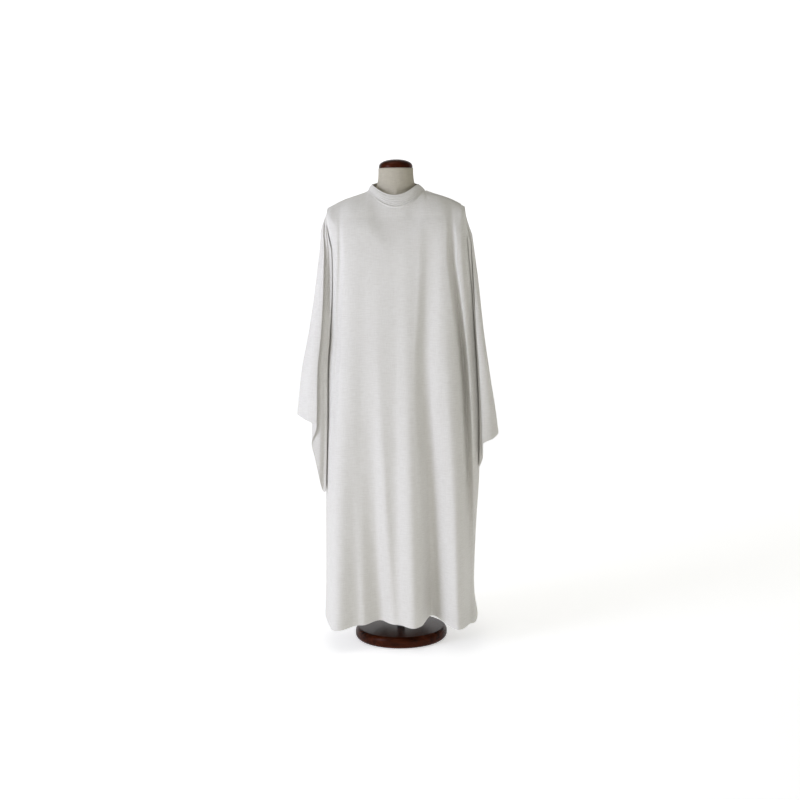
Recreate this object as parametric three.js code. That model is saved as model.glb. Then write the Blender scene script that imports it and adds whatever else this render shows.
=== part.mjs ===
// A wide-cut alb with hanging sleeves and a stand collar, on a limbless dress form.
// Lengths are in millimetres. +X is the wearer's left, -Y the front, +Z up, and the
// origin is on the floor under the middle of the round base.
import * as THREE from 'three';

// Cloth and the gaps between its pieces
const CLOTH = 1.2;
const SEAM_GAP = 0.3;
const SEAM_HALF = SEAM_GAP / 2;
const LAID_GAP = 0.5;

// Grid of each piece of cloth
const PANEL_COLUMNS = 40;
const PANEL_ROWS = 25;
const SLEEVE_STEPS = 2;
const COLLAR_COLUMNS = 48;
const COLLAR_ROWS = 3;
const RING_EXPONENT = 2.8;
const ROW_DENSITY = 1.55;

// Neck seam of the two panels
const NECK_HALF_WIDTH = 95;
const NECK_SIDE_Y = 4;
const NECK_SIDE_Z = 1551;
const NECK_FRONT_Y = -86;
const NECK_FRONT_Z = 1499;
const NECK_BACK_Y = 76;
const NECK_BACK_Z = 1560;

// Stand collar: its upper rim leans in and tips down at the front
const RIM_HALF_WIDTH = 77;
const RIM_CENTRE_X = -5;
const RIM_FRONT_Y = -70;
const RIM_BACK_Y = 64;
const RIM_SIDE_Z = 1573;
const RIM_FRONT_Z = 1535;
const RIM_BACK_Z = 1588;
const COLLAR_START = 86;
const COLLAR_TURN = 372;
const COLLAR_LAP = 3.4;
const LAP_RAMP = 30;
const COLLAR_BULGE = 2;
const COLLAR_LIFT = 0.9;

// Shoulder seam, from the collar to the tip
const SHOULDER_LINE = [
  { x: 95, z: 1551 },
  { x: 125, z: 1540 },
  { x: 152, z: 1531.5 },
  { x: 182, z: 1520.5 },
  { x: 231, z: 1496 },
];
const TIP = { x: 231, z: 1496 };
const ARM_TOP_Z = 1462;
const ARM_TOP_HALF = 44;
const TIP_SHARE = 0.1;
const SEAM_INSET = { low: 2.2, high: 3.8 };
const NECK_SHARE = 0.335;
// Height over which the cloth rounds from the top edge into the outline
const TIP_ROUNDING = 42;
const SHOULDER_ROUNDING = 110;
const NECK_ROUNDING = 165;

// Body outline in plan: half widths on each side, depth in front and behind, and half
// the width of the armhole's opening along the side
const BODY = [
  { z: 1500, right: 226, left: 226, front: 104, back: 96, arm: 44 },
  { z: 1462, right: 236, left: 233, front: 114, back: 104, arm: 44 },
  { z: 1400, right: 226, left: 240, front: 126, back: 110, arm: 56 },
  { z: 1330, right: 221, left: 246, front: 132, back: 114, arm: 60 },
  { z: 1200, right: 223, left: 257, front: 138, back: 120, arm: 42 },
  { z: 1060, right: 233, left: 267, front: 143, back: 132, arm: SEAM_HALF },
  { z: 950, right: 242, left: 273, front: 147, back: 145, arm: SEAM_HALF },
  { z: 780, right: 246, left: 279, front: 152, back: 162, arm: SEAM_HALF },
  { z: 570, right: 254, left: 276, front: 158, back: 180, arm: SEAM_HALF },
  { z: 430, right: 257, left: 266, front: 162, back: 190, arm: SEAM_HALF },
  { z: 280, right: 259, left: 258, front: 165, back: 197, arm: SEAM_HALF },
  { z: 170, right: 262, left: 257, front: 167, back: 202, arm: SEAM_HALF },
  { z: 80, right: 266, left: 270, front: 168, back: 205, arm: SEAM_HALF },
];

// Folds of the panels. Each row gives the fold's x and how far it stands out of the
// outline (inwards below 0) at the four heights, and its half width on each side.
const FOLD_HEIGHTS = { chest: 1320, waist: 950, knee: 520, hem: 85 };
const FRONT_FOLDS = [
  { fold: 'right corner crest', x: [-170, -194, -218, -226], out: [5, 14, 38, 66], less: 46, more: 84 },
  { fold: 'right side trough', x: [-188, -209, -236, -246], out: [-12, -13, -10, -2], less: 14, more: 15 },
  { fold: 'right valley', x: [-112, -106, -92, -88], out: [0, -6, -26, -50], less: 62, more: 48 },
  { fold: 'small crest', x: [-60, -62, -58, -50], out: [0, 2, 4, 12], less: 26, more: 26 },
  { fold: 'inner valley', x: [-20, -20, -18, -16], out: [0, -2, -8, -22], less: 34, more: 30 },
  { fold: 'centre crest', x: [28, 30, 35, 42], out: [2, 9, 20, 28], less: 46, more: 42 },
  { fold: 'main valley', x: [104, 87, 102, 106], out: [-8, -28, -56, -84], less: 36, more: 56 },
  { fold: 'left crest', x: [160, 168, 192, 212], out: [4, 14, 36, 64], less: 56, more: 56 },
  { fold: 'left deep valley', x: [184, 222, 236, 236], out: [-22, -44, -20, -6], less: 24, more: 20 },
  { fold: 'left edge crest', x: [216, 246, 256, 256], out: [6, 10, 8, 26], less: 26, more: 18 },
];
const BACK_FOLDS = [
  { fold: 'right corner crest', x: [-168, -186, -200, -206], out: [4, 14, 30, 44], less: 44, more: 50 },
  { fold: 'right valley', x: [-118, -122, -126, -128], out: [-4, -16, -34, -54], less: 46, more: 46 },
  { fold: 'inner right crest', x: [-52, -56, -60, -60], out: [3, 10, 24, 36], less: 46, more: 44 },
  { fold: 'middle valley', x: [2, 4, 8, 10], out: [-5, -14, -32, -50], less: 42, more: 46 },
  { fold: 'inner left crest', x: [62, 66, 74, 78], out: [3, 11, 26, 40], less: 44, more: 46 },
  { fold: 'left valley', x: [122, 128, 136, 140], out: [-5, -18, -38, -56], less: 44, more: 44 },
  { fold: 'left corner crest', x: [168, 190, 208, 212], out: [4, 14, 30, 42], less: 50, more: 42 },
];
const HEM_FRONT_Z = 86;
const HEM_SIDE_Z = 90;
const HEM_BACK_Z = 126;
const HEM_LIFT = 0.13;

// Sleeves, as lines that run from the armhole to the cuff. Each row gives how far out
// of the armhole seam the line lies and its y, below the armhole's top, at the upper
// arm, the elbow and the cuff, and the height of the cuff there.
const SLEEVE_STATIONS = [0.12, 0.3, 0.62, 1];
const UNDERARM_Z = 1060;
const UNDERARM_CLEAR = 3;
const RIGHT_SLEEVE = [
  { line: 'front seam', out: [0, 0, 0, 0], y: null, cuff: 548 },
  { line: 'seam roll', out: [3, 2, 1, 1], y: [-64, -66, -48, -44], cuff: 538 },
  { line: 'inner pleat crest', out: [8, 2, -9, -8], y: [-66, -88, -104, -98], cuff: 536 },
  { line: 'pleat back', out: [13, 17, 18, 22], y: [-58, -62, -70, -62], cuff: 592 },
  { line: 'hidden fold', out: [16, 28, 38, 42], y: [-42, -54, -56, -46], cuff: 640 },
  { line: 'under the flap', out: [16, 21, 27, 32], y: [-48, -63, -77, -73], cuff: 700 },
  { line: 'flap edge', out: [20, 17, 21, 22], y: [-54, -80, -102, -100], cuff: 764 },
  { line: 'flap face', out: [25, 34, 50, 62], y: [-25, -62, -84, -78], cuff: 780 },
  { line: 'top fold', out: [22, 50, 73, 100], y: [-4, -18, -26, -24], cuff: 796 },
  { line: 'back face', out: [21, 42, 62, 78], y: [22, 34, 36, 36], cuff: 788 },
  { line: 'back crest', out: [17, 28, 38, 42], y: [46, 76, 92, 88], cuff: 716 },
  { line: 'back trough', out: [11, 20, 24, 28], y: [59, 60, 58, 54], cuff: 636 },
  { line: 'inner back crest', out: [5, 8, 9, 10], y: [65, 76, 76, 68], cuff: 572 },
  { line: 'back seam', out: [0, 0, 0, 0], y: null, cuff: 548 },
];
const LEFT_SLEEVE = [
  { line: 'front seam', out: [0, 0, 0, 0], y: null, cuff: 606 },
  { line: 'seam trough', out: [3, 4, 4, 4], y: [-62, -60, -46, -38], cuff: 612 },
  { line: 'inner wall', out: [7, 3, 0, 1], y: [-66, -76, -84, -74], cuff: 640 },
  { line: 'flap edge', out: [11, 3, -3, 3], y: [-60, -92, -112, -106], cuff: 692 },
  { line: 'flap face', out: [14, 16, 24, 38], y: [-40, -74, -92, -88], cuff: 712 },
  { line: 'top fold', out: [16, 22, 28, 60], y: [-6, -18, -26, -28], cuff: 724 },
  { line: 'back face', out: [14, 20, 25, 44], y: [26, 38, 40, 34], cuff: 718 },
  { line: 'back crest', out: [12, 15, 18, 13], y: [48, 78, 94, 88], cuff: 680 },
  { line: 'back trough', out: [8, 8, 10, 8], y: [61, 64, 60, 54], cuff: 640 },
  { line: 'inner back crest', out: [3, 3, 5, 4], y: [64, 74, 72, 60], cuff: 614 },
  { line: 'back seam', out: [0, 0, 0, 0], y: null, cuff: 606 },
];

// Strip that covers the opening on the left shoulder: the panel's columns that it
// spans, and how much of the way from the panel's first row to its second
const STRIP = { columns: [27, 35], rows: 2, high: 0.1, low: 0.68, thickness: 1.6 };

// Dress form
const FORM = {
  bottomZ: 800,
  ringPoints: 32,
  restGap: 1.4,
};
const FORM_RINGS = [
  { z: 800, half: 148, front: 104, back: 100, square: 2.3 },
  { z: 812, half: 156, front: 110, back: 106, square: 2.3 },
  { z: 880, half: 166, front: 116, back: 112, square: 2.3 },
  { z: 970, half: 156, front: 108, back: 104, square: 2.3 },
  { z: 1070, half: 138, front: 98, back: 92, square: 2.3 },
  { z: 1170, half: 150, front: 108, back: 96, square: 2.3 },
  { z: 1260, half: 164, front: 118, back: 102, square: 2.3 },
  { z: 1340, half: 174, front: 114, back: 102, square: 2.25 },
  { z: 1410, half: 188, front: 98, back: 94, square: 2.15 },
  { z: 1455, half: 196, front: 84, back: 82, square: 2.0 },
];
const FORM_SHOULDER = [
  { half: 198, front: 74, back: 72, under: 20, square: 1.85 },
  { half: 190, front: 68, back: 66, under: 5, square: 1.65 },
  { half: 170, front: 64, back: 62, under: 0, square: 1.45 },
  { half: 148, front: 62, back: 60, under: 0, square: 1.3 },
  { half: 122, front: 60, back: 57, under: 0, square: 1.2 },
  { half: 95, front: 58, back: 55, under: 0, square: 1.15 },
];
const FORM_NECK = [
  { z: 1556, half: 73, front: 57, back: 56, square: 1.5 },
  { z: 1568, half: 65, front: 57, back: 56, square: 1.8 },
  { z: 1584, half: 61, front: 57, back: 56, square: 2 },
  { z: 1603, half: 59.5, front: 57, back: 56.5, square: 2 },
  { z: 1625, half: 59, front: 57, back: 57, square: 2 },
];
const CAP = { radius: 57, edge: 9, topZ: 1655, round: 3, segments: 32 };
const POLE = { radius: 14, segments: 24 };
const BASE = { radius: 160, footRadius: 153, thickness: 39, roundTop: 15, segments: 48 };

const clothLook = { color: 0xd8d7dc, roughness: 0.9, metalness: 0 };
const linenLook = { color: 0xb1ab9c, roughness: 0.95, metalness: 0 };
const woodLook = { color: 0x2a0d06, roughness: 0.35, metalness: 0 };
const steelLook = { color: 0x8a8a8c, roughness: 0.4, metalness: 0.9 };

const alb = new THREE.Group();

function addMesh(name, geometry, look) {
  const mesh = new THREE.Mesh(geometry, new THREE.MeshStandardMaterial(look));
  mesh.name = name;
  alb.add(mesh);
}

function blend(from, to, share) {
  return from + (to - from) * share;
}

function clamp01(value) {
  return Math.min(1, Math.max(0, value));
}

function ease(value) {
  const t = clamp01(value);
  return t * t * (3 - 2 * t);
}

// Value at one place on a smooth curve through rising knots, level past both ends.
function smooth(knots, values, at) {
  const last = knots.length - 1;
  if (at <= knots[0]) return values[0];
  if (at >= knots[last]) return values[last];
  let k = 0;
  while (at > knots[k + 1]) k += 1;
  const slopeAt = (i) => {
    const low = Math.max(0, i - 1);
    const high = Math.min(last, i + 1);
    return (values[high] - values[low]) / (knots[high] - knots[low]);
  };
  const span = knots[k + 1] - knots[k];
  const t = (at - knots[k]) / span;
  const a = (2 * t - 3) * t * t + 1;
  const b = ((t - 2) * t + 1) * t;
  const c = (3 - 2 * t) * t * t;
  const d = (t - 1) * t * t;
  return a * values[k] + b * span * slopeAt(k) + c * values[k + 1] + d * span * slopeAt(k + 1);
}

const BODY_UP = [...BODY].reverse();
const BODY_Z = BODY_UP.map((row) => row.z);
const BODY_COLUMN = {};
for (const column of ['right', 'left', 'front', 'back', 'arm']) {
  BODY_COLUMN[column] = BODY_UP.map((row) => row[column]);
}

function body(column, z) {
  const value = smooth(BODY_Z, BODY_COLUMN[column], z);
  return column === 'arm' ? Math.max(SEAM_HALF, z > UNDERARM_Z ? value : 0) : value;
}

// Turn around half a rounded outline that goes evenly along its length
const turnTable = (() => {
  const steps = 400;
  const points = [];
  for (let i = 0; i <= steps; i += 1) {
    const angle = (Math.PI * i) / steps;
    const c = -Math.cos(angle);
    const x = 250 * Math.sign(c) * Math.abs(c) ** (2 / RING_EXPONENT);
    const y = 150 * Math.sin(angle) ** (2 / RING_EXPONENT);
    points.push([x, y]);
  }
  const lengths = [0];
  for (let i = 1; i <= steps; i += 1) {
    const dx = points[i][0] - points[i - 1][0];
    const dy = points[i][1] - points[i - 1][1];
    lengths.push(lengths[i - 1] + Math.hypot(dx, dy));
  }
  return lengths.map((length, i) => [length / lengths[steps], (Math.PI * i) / steps]);
})();

function evenTurn(share) {
  let k = 0;
  while (k < turnTable.length - 2 && share > turnTable[k + 1][0]) k += 1;
  const [s0, a0] = turnTable[k];
  const [s1, a1] = turnTable[k + 1];
  return blend(a0, a1, clamp01((share - s0) / (s1 - s0)));
}

function bump(distance) {
  return Math.abs(distance) >= 1 ? 0 : 0.5 * (1 + Math.cos(Math.PI * distance));
}

const FOLD_Z = Object.values(FOLD_HEIGHTS).reverse();

// How far the folds push the cloth out at one place of the outline
function foldPush(folds, x, z) {
  let push = 0;
  const grown = clamp01((FOLD_HEIGHTS.chest - z) / (FOLD_HEIGHTS.chest - FOLD_HEIGHTS.hem));
  const spread = 0.8 + 0.2 * grown;
  const rise = ease((1500 - z) / 180);
  for (const row of folds) {
    const at = smooth(FOLD_Z, [...row.x].reverse(), z);
    const out = smooth(FOLD_Z, [...row.out].reverse(), z);
    const width = (x < at ? row.less : row.more) * spread;
    push += out * bump((x - at) / width) * rise;
  }
  return push;
}

const panels = {
  front: { sign: -1, depth: 'front', folds: FRONT_FOLDS, neckY: NECK_FRONT_Y, neckZ: NECK_FRONT_Z },
  back: { sign: 1, depth: 'back', folds: BACK_FOLDS, neckY: NECK_BACK_Y, neckZ: NECK_BACK_Z },
};

// Point of the body's outline, u from the wearer's right side to the left
function ringPoint(panel, u, z) {
  const angle = evenTurn(u);
  const c = -Math.cos(angle);
  const half = c < 0 ? body('right', z) : body('left', z);
  const x = half * Math.sign(c) * Math.abs(c) ** (2 / RING_EXPONENT);
  const arm = body('arm', z);
  const depth = body(panel.depth, z);
  const y = arm + (depth - arm) * Math.max(0, Math.sin(angle)) ** (2 / RING_EXPONENT);
  const fade = ease(Math.min(u, 1 - u) / 0.1);
  return [x, panel.sign * (y + fade * foldPush(panel.folds, x, z))];
}

function shoulderZ(x) {
  const knots = SHOULDER_LINE.map((row) => row.x);
  const heights = SHOULDER_LINE.map((row) => row.z);
  return smooth(knots, heights, Math.abs(x));
}

// Neck seam at a turn in degrees: 0 in front, 90 on the wearer's left, 180 behind
function neckSeam(degrees) {
  const angle = THREE.MathUtils.degToRad(degrees);
  const c = Math.cos(angle);
  const reach = c > 0 ? NECK_SIDE_Y - NECK_FRONT_Y : NECK_BACK_Y - NECK_SIDE_Y;
  const rise = c > 0 ? NECK_FRONT_Z - NECK_SIDE_Z : NECK_BACK_Z - NECK_SIDE_Z;
  return [
    NECK_HALF_WIDTH * Math.sin(angle),
    NECK_SIDE_Y - reach * c,
    NECK_SIDE_Z + rise * c * c,
  ];
}

// Upper edge of a panel: armhole arc, shoulder seam, neck seam and back again
function topPoint(panel, u) {
  const side = u < 0.5 ? -1 : 1;
  const share = Math.min(u, 1 - u);
  if (share < TIP_SHARE) {
    const turn = (share / TIP_SHARE) * (Math.PI / 2);
    const low = side < 0 ? body('right', ARM_TOP_Z) : body('left', ARM_TOP_Z);
    const x = blend(low, TIP.x, Math.sin(turn));
    const y = SEAM_HALF + (ARM_TOP_HALF - SEAM_HALF) * Math.cos(turn);
    return [side * x, panel.sign * y, blend(ARM_TOP_Z, TIP.z, Math.sin(turn))];
  }
  if (share < NECK_SHARE) {
    const along = (share - TIP_SHARE) / (NECK_SHARE - TIP_SHARE);
    const x = blend(TIP.x, NECK_HALF_WIDTH, along);
    const y = NECK_SIDE_Y * ease(along) + panel.sign * SEAM_HALF;
    return [side * x, y, shoulderZ(x)];
  }
  const around = (share - NECK_SHARE) / (0.5 - NECK_SHARE);
  const turn = 90 * (1 - around);
  const degrees = panel.sign < 0 ? turn : 180 - turn;
  const [x, y, z] = neckSeam(degrees);
  const seam = panel.sign * SEAM_HALF * (1 - ease(around * 3));
  return [side * x, y + seam, z];
}

function hemZ(panel, u) {
  const [x] = ringPoint(panel, u, HEM_FRONT_Z);
  const push = foldPush(panel.folds, x, HEM_FRONT_Z);
  const middle = panel.sign < 0 ? HEM_FRONT_Z : HEM_BACK_Z;
  const inward = ease(Math.min(u, 1 - u) / 0.16);
  return blend(HEM_SIDE_Z, middle, inward) - HEM_LIFT * push * inward;
}

// Point of a panel, u across and v from the top edge (0) to the hem (1)
function panelPoint(panel, u, v) {
  const top = topPoint(panel, u);
  const z = blend(top[2], hemZ(panel, u), v ** ROW_DENSITY);
  const [x, y] = ringPoint(panel, u, Math.min(z, ARM_TOP_Z));
  const share = Math.min(u, 1 - u);
  const neckness = ease((share - 0.24) / 0.2);
  const shoulderDrop = blend(TIP_ROUNDING, SHOULDER_ROUNDING, ease((share - TIP_SHARE) / 0.1));
  const left = 1 - clamp01((top[2] - z) / blend(shoulderDrop, NECK_ROUNDING, neckness));
  const sharpness = blend(0.5, 0.8, neckness);
  const full = (1 - left * left) ** sharpness;
  return [blend(top[0], x, full), blend(top[1], y, full), z];
}

// Unit way of a step between neighbours, square to the way down the cloth
function stepAcross(from, to, down) {
  const step = to.clone().sub(from);
  return step.addScaledVector(down, -step.dot(down)).normalize();
}

// Closed wall of cloth. outer[i][j] runs across to the right, seen from outside, and
// down. inwards may change the way in which a point of the grid gets its thickness.
function clothWall(outer, thickness, inwards = (way) => way) {
  const columns = outer.length - 1;
  const rows = outer[0].length - 1;
  const points = [];
  const index = (i, j) => i * (rows + 1) + j;
  for (let i = 0; i <= columns; i += 1) {
    for (let j = 0; j <= rows; j += 1) {
      points.push(new THREE.Vector3(...outer[i][j]));
    }
  }
  const count = points.length;
  for (let i = 0; i <= columns; i += 1) {
    for (let j = 0; j <= rows; j += 1) {
      const here = points[index(i, j)];
      const down = points[index(i, Math.min(j + 1, rows))].clone();
      down.sub(points[index(i, Math.max(j - 1, 0))]).normalize();
      const across = stepAcross(points[index(Math.max(i - 1, 0), j)], here, down);
      across.add(stepAcross(here, points[index(Math.min(i + 1, columns), j)], down));
      const way = inwards(across.cross(down).normalize(), i, j).normalize();
      points.push(here.clone().addScaledVector(way, thickness));
    }
  }
  const faces = [];
  for (let i = 0; i < columns; i += 1) {
    for (let j = 0; j < rows; j += 1) {
      const a = index(i, j);
      const b = index(i, j + 1);
      const c = index(i + 1, j + 1);
      const d = index(i + 1, j);
      faces.push(a, b, c, a, c, d);
      faces.push(count + a, count + c, count + b, count + a, count + d, count + c);
    }
  }
  const edge = [];
  for (let j = 0; j < rows; j += 1) edge.push(index(0, j));
  for (let i = 0; i < columns; i += 1) edge.push(index(i, rows));
  for (let j = rows; j > 0; j -= 1) edge.push(index(columns, j));
  for (let i = columns; i > 0; i -= 1) edge.push(index(i, 0));
  edge.forEach((a, k) => {
    const b = edge[(k + 1) % edge.length];
    faces.push(b, a, count + a, b, count + a, count + b);
  });
  const geometry = new THREE.BufferGeometry();
  const flat = points.flatMap((p) => [p.x, p.y, p.z]);
  geometry.setAttribute('position', new THREE.Float32BufferAttribute(flat, 3));
  geometry.setIndex(faces);
  geometry.computeVertexNormals();
  return geometry;
}

function grid(columns, rows, pointAt) {
  const outer = [];
  for (let i = 0; i <= columns; i += 1) {
    const line = [];
    for (let j = 0; j <= rows; j += 1) line.push(pointAt(i / columns, j / rows));
    outer.push(line);
  }
  return outer;
}

// Front and back. Seam edges keep their own plane, so that the walls meet square.
function addPanel(name, panel) {
  const across = (u) => (panel.sign < 0 ? u : 1 - u);
  const outer = grid(PANEL_COLUMNS, PANEL_ROWS, (u, v) => panelPoint(panel, across(u), v));
  const squared = (way, i, j) => {
    const share = Math.min(i, PANEL_COLUMNS - i) / PANEL_COLUMNS;
    if (share > 0 && (j > 0 || share > NECK_SHARE + 0.02)) return way;
    way.y = 0;
    const toMiddle = new THREE.Vector3(-Math.sign(outer[i][j][0]), 0, 0);
    return j > 0 ? way : toMiddle.lerp(way.normalize(), ease(share / TIP_SHARE));
  };
  addMesh(name, clothWall(outer, CLOTH, squared), clothLook);
  return outer;
}

// Heights of the rows along the panels' side edges, which the sleeves share
function sideRowZ(j) {
  const share = (j / PANEL_ROWS) ** ROW_DENSITY;
  return blend(ARM_TOP_Z, hemZ(panels.front, 0), share);
}

// Point of one sleeve line. A line starts on the armhole arc, rounds out to the first
// station, and its way out and y are smooth through all four. Both seams follow the
// panels' own edges.
function linePoint(lines, side, across, row, lastRow) {
  const share = (ARM_TOP_Z - sideRowZ(row)) / (ARM_TOP_Z - sideRowZ(lastRow));
  const knots = lines.map((line, k) => k);
  const seamY = (k, z) => (k === 0 ? -1 : 1) * body('arm', z);
  const topTurn = Math.PI * (across / (lines.length - 1));
  const inset = blend(SEAM_INSET.low, SEAM_INSET.high, Math.sin(topTurn));
  const topHalf = ARM_TOP_HALF - SEAM_HALF - inset;
  const topZ = blend(ARM_TOP_Z, TIP.z - inset, Math.sin(topTurn));
  const low = side < 0 ? 'right' : 'left';
  const topX = blend(body(low, ARM_TOP_Z), TIP.x, Math.sin(topTurn));
  const topY = -Math.sign(Math.cos(topTurn)) * SEAM_HALF - topHalf * Math.cos(topTurn);
  const cuffs = lines.map((line) => (line.y ? line.cuff : sideRowZ(lastRow)));
  const z = blend(topZ, smooth(knots, cuffs, across), share);
  const outs = lines.map((line) => smooth(SLEEVE_STATIONS, line.out, share));
  const ys = lines.map((line, k) => (line.y ? smooth(SLEEVE_STATIONS, line.y, share) : seamY(k, z)));
  const clear = UNDERARM_CLEAR * ease((UNDERARM_Z + 40 - z) / 160);
  const x = body(low, Math.min(z, ARM_TOP_Z)) + LAID_GAP + clear + smooth(knots, outs, across);
  const y = smooth(knots, ys, across);
  const settled = clamp01(share / SLEEVE_STATIONS[0]);
  const left = 1 - clamp01((ARM_TOP_Z - z) / TIP_ROUNDING);
  const onSeam = across === 0 || across === lines.length - 1;
  const seamShare = Math.sqrt(1 - left * left);
  const outShare = onSeam ? seamShare : (1 - (1 - settled) ** 2) ** 0.85;
  const yShare = onSeam ? seamShare : ease(settled);
  return [side * blend(topX + LAID_GAP, x, outShare), blend(topY, y, yShare), z];
}

// Point of a sleeve, straight between each seam and the line beside it
function sleevePoint(lines, side, across, row, lastRow) {
  const from = Math.floor(across);
  const inside = from > 0 && from < lines.length - 2;
  if (across === from || inside) return linePoint(lines, side, across, row, lastRow);
  const near = linePoint(lines, side, from, row, lastRow);
  const far = linePoint(lines, side, from + 1, row, lastRow);
  return near.map((value, k) => blend(value, far[k], across - from));
}

function addSleeve(name, lines, side) {
  const seamCuff = lines[0].cuff;
  let lastRow = 0;
  while (sideRowZ(lastRow + 1) >= seamCuff - 20) lastRow += 1;
  const columns = (lines.length - 1) * SLEEVE_STEPS;
  const outer = [];
  for (let i = 0; i <= columns; i += 1) {
    const place = side < 0 ? columns - i : i;
    const line = [];
    for (let j = 0; j <= lastRow; j += 1) {
      line.push(sleevePoint(lines, side, place / SLEEVE_STEPS, j, lastRow));
    }
    outer.push(line);
  }
  const squared = (way, i, j) => {
    const off = Math.min(i, columns - i);
    if (off > 1 || (off === 1 && j > 3)) return way;
    const inY = i < columns / 2 ? side : -side;
    const turn = Math.PI * ease((j - 1) / 5);
    return new THREE.Vector3(-side * Math.cos(turn), inY * Math.sin(turn), 0);
  };
  addMesh(name, clothWall(outer, CLOTH, squared), clothLook);
}

// Collar: one band round the neck whose end laps over its start on the left shoulder
function collarPoint(u, v) {
  const turn = COLLAR_TURN * u;
  const degrees = COLLAR_START + turn;
  const lap = COLLAR_LAP * ease((turn - (COLLAR_TURN - LAP_RAMP - 12)) / LAP_RAMP);
  const angle = THREE.MathUtils.degToRad(degrees);
  const s = Math.sin(angle);
  const c = Math.cos(angle);
  const foot = neckSeam(degrees);
  const rimY = c > 0 ? RIM_FRONT_Y : RIM_BACK_Y;
  const rimZ = c > 0 ? RIM_FRONT_Z : RIM_BACK_Z;
  const rim = [
    RIM_CENTRE_X + RIM_HALF_WIDTH * s,
    Math.abs(c) * rimY,
    RIM_SIDE_Z + (rimZ - RIM_SIDE_Z) * c * c,
  ];
  const out = lap + COLLAR_BULGE * Math.sin(Math.PI * v);
  return [
    blend(rim[0], foot[0], v) + out * s,
    blend(rim[1], foot[1], v) - out * c,
    blend(rim[2], foot[2] + COLLAR_LIFT, v),
  ];
}

function addCollar() {
  const outer = grid(COLLAR_COLUMNS, COLLAR_ROWS, collarPoint);
  const levelled = (way, i, j) => {
    if (j === COLLAR_ROWS) way.z = 0;
    return way;
  };
  addMesh('collar', clothWall(outer, CLOTH, levelled), clothLook);
}

// Shoulder strip, made from the front panel's points and moved out of them
function addShoulderStrip(panelGrid) {
  const [first, last] = STRIP.columns;
  const vector = (i, j) => new THREE.Vector3(...panelGrid[i][j]);
  const outer = grid(last - first, STRIP.rows, (u, v) => {
    const i = first + Math.round(u * (last - first));
    const across = vector(i + 1, 0).sub(vector(i - 1, 0));
    const down = vector(i, 1).sub(vector(i, 0));
    const outwards = down.clone().cross(across).normalize();
    const point = vector(i, 0).addScaledVector(down, blend(STRIP.high, STRIP.low, v));
    point.addScaledVector(outwards, STRIP.thickness + LAID_GAP);
    return [point.x, point.y, point.z];
  });
  addMesh('shoulder_strip', clothWall(outer, STRIP.thickness), clothLook);
}

// Smooth solid through level rings, closed flat at both ends
function ringSolid(rings, pointCount) {
  const points = [];
  for (const ring of rings) {
    for (let k = 0; k < pointCount; k += 1) {
      const angle = (2 * Math.PI * k) / pointCount;
      const c = Math.cos(angle);
      const s = Math.sin(angle);
      const depth = s < 0 ? ring.front : ring.back;
      points.push(ring.half * Math.sign(c) * Math.abs(c) ** (2 / ring.square));
      points.push(depth * Math.sign(s) * Math.abs(s) ** (2 / ring.square));
      points.push(ring.z);
    }
  }
  const foot = points.length / 3;
  points.push(0, 0, rings[0].z, 0, 0, rings[rings.length - 1].z);
  const faces = [];
  const topStart = (rings.length - 1) * pointCount;
  for (let k = 0; k < pointCount; k += 1) {
    const next = (k + 1) % pointCount;
    for (let r = 0; r < rings.length - 1; r += 1) {
      const a = r * pointCount + k;
      const b = r * pointCount + next;
      faces.push(a, b, b + pointCount, a, b + pointCount, a + pointCount);
    }
    faces.push(foot, next, k, foot + 1, topStart + k, topStart + next);
  }
  const geometry = new THREE.BufferGeometry();
  geometry.setAttribute('position', new THREE.Float32BufferAttribute(points, 3));
  geometry.setIndex(faces);
  geometry.computeVertexNormals();
  return geometry;
}

function addForm() {
  const shoulders = FORM_SHOULDER.map((row) => ({
    ...row,
    z: shoulderZ(row.half) - CLOTH - FORM.restGap - row.under,
  }));
  const rings = [...FORM_RINGS, ...shoulders, ...FORM_NECK];
  addMesh('form_torso', ringSolid(rings, FORM.ringPoints), linenLook);
}

function turned(profile, segments) {
  const points = profile.map(([radius, z]) => new THREE.Vector2(radius, z));
  const geometry = new THREE.LatheGeometry(points, segments);
  geometry.rotateX(Math.PI / 2);
  return geometry;
}

function addCap() {
  const foot = FORM_NECK[FORM_NECK.length - 1].z + SEAM_GAP;
  const edgeTop = foot + CAP.edge;
  const rise = CAP.topZ - edgeTop;
  const profile = [[0, foot], [CAP.radius - CAP.round, foot], [CAP.radius, foot + CAP.round]];
  const steps = 8;
  for (let k = 0; k <= steps; k += 1) {
    const turn = (k / steps) * (Math.PI / 2);
    const radius = k === steps ? 0 : CAP.radius * Math.cos(turn);
    profile.push([radius, edgeTop + rise * Math.sin(turn)]);
  }
  addMesh('neck_cap', turned(profile, CAP.segments), woodLook);
}

function addStand() {
  const shoulder = BASE.radius - BASE.roundTop;
  const profile = [[0, 0], [BASE.footRadius, 0], [BASE.radius - 2, 4], [BASE.radius, 11]];
  const steps = 6;
  for (let k = 0; k <= steps; k += 1) {
    const turn = (k / steps) * (Math.PI / 2);
    const rise = BASE.roundTop * Math.sin(turn);
    profile.push([shoulder + BASE.roundTop * Math.cos(turn), BASE.thickness - BASE.roundTop + rise]);
  }
  profile.push([0, BASE.thickness]);
  addMesh('base', turned(profile, BASE.segments), woodLook);
  const low = BASE.thickness + SEAM_GAP;
  const high = FORM.bottomZ - SEAM_GAP;
  const pole = [[0, low], [POLE.radius, low], [POLE.radius, high], [0, high]];
  addMesh('pole', turned(pole, POLE.segments), steelLook);
}

const frontGrid = addPanel('front', panels.front);
addPanel('back', panels.back);
addSleeve('sleeve_right', RIGHT_SLEEVE, -1);
addSleeve('sleeve_left', LEFT_SLEEVE, 1);
addCollar();
addShoulderStrip(frontGrid);
addForm();
addCap();
addStand();

export default alb;
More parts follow.
